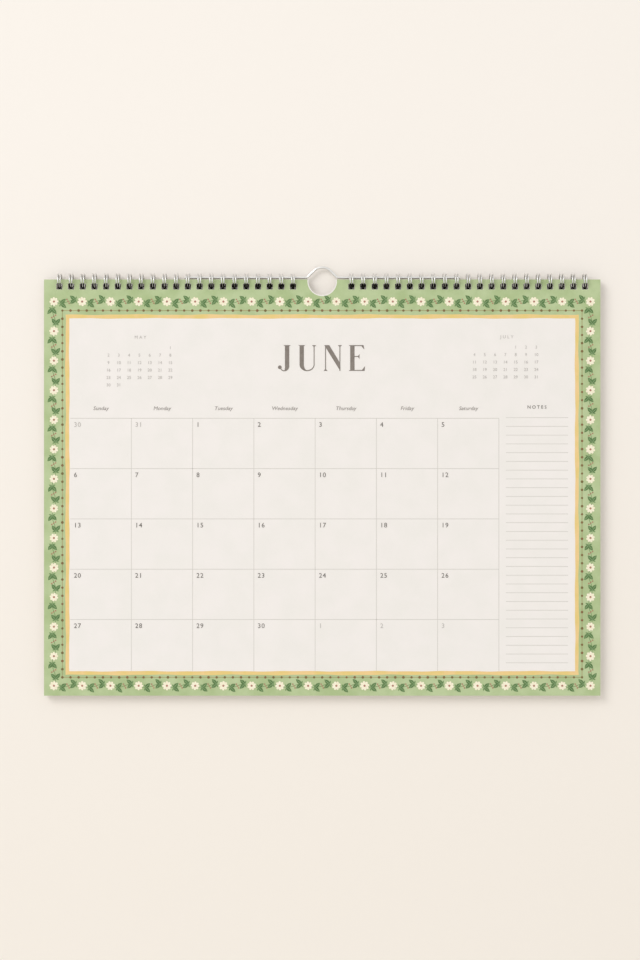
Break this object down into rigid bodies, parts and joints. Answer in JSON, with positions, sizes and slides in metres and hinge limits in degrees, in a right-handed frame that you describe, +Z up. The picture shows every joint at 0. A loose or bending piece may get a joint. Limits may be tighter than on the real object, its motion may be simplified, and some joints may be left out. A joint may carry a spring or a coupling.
{
  "type": "wall calendar",
  "caption": "Wire-bound wall calendar open at a mid-year month, with punched sheets, a card back, two wire combs and a kinked hanger wire.",
  "frame": {"origin": "where a nail carries the calendar, under the crest of the hanger wire's kink", "axes": "+Z up, -Y out of the printed face towards the reader, +X to the reader's right"},
  "size_m": [0.4032, 0.0111, 0.3116],
  "materials": {
    "steel_wire": "bright drawn wire",
    "hanger_steel": "bright drawn wire",
    "leaf_paper": "matt uncoated paper",
    "cover_card": "matt card",
    "grey_board": "plain board"
  },
  "bodies": {
    "hanger": {"hanger_wire": "hanger_steel"},
    "binding": {"left_comb": "steel_wire", "right_comb": "steel_wire", "back_board": "grey_board"},
    "leaves": {"leaf_pack": "leaf_paper"},
    "turned": {"front_cover": "cover_card", "turned_leaves": "leaf_paper"}
  },
  "joints": [
    {"name": "hanger_swing", "type": "hinge", "parent": "hanger", "child": "binding", "pos_m": [0, 0, -0.0063], "axis": [-1, 0, 0], "range_deg": [0, 30]},
    {"name": "leaf_turn", "type": "hinge", "parent": "binding", "child": "leaves", "pos_m": [0, -0.00269, -0.00797], "axis": [-1, 0, 0], "range_deg": [0, 175]},
    {"name": "back_turn", "type": "hinge", "parent": "binding", "child": "turned", "pos_m": [0, -0.00044, -0.00797], "axis": [1, 0, 0], "range_deg": [0, 40]}
  ]
}
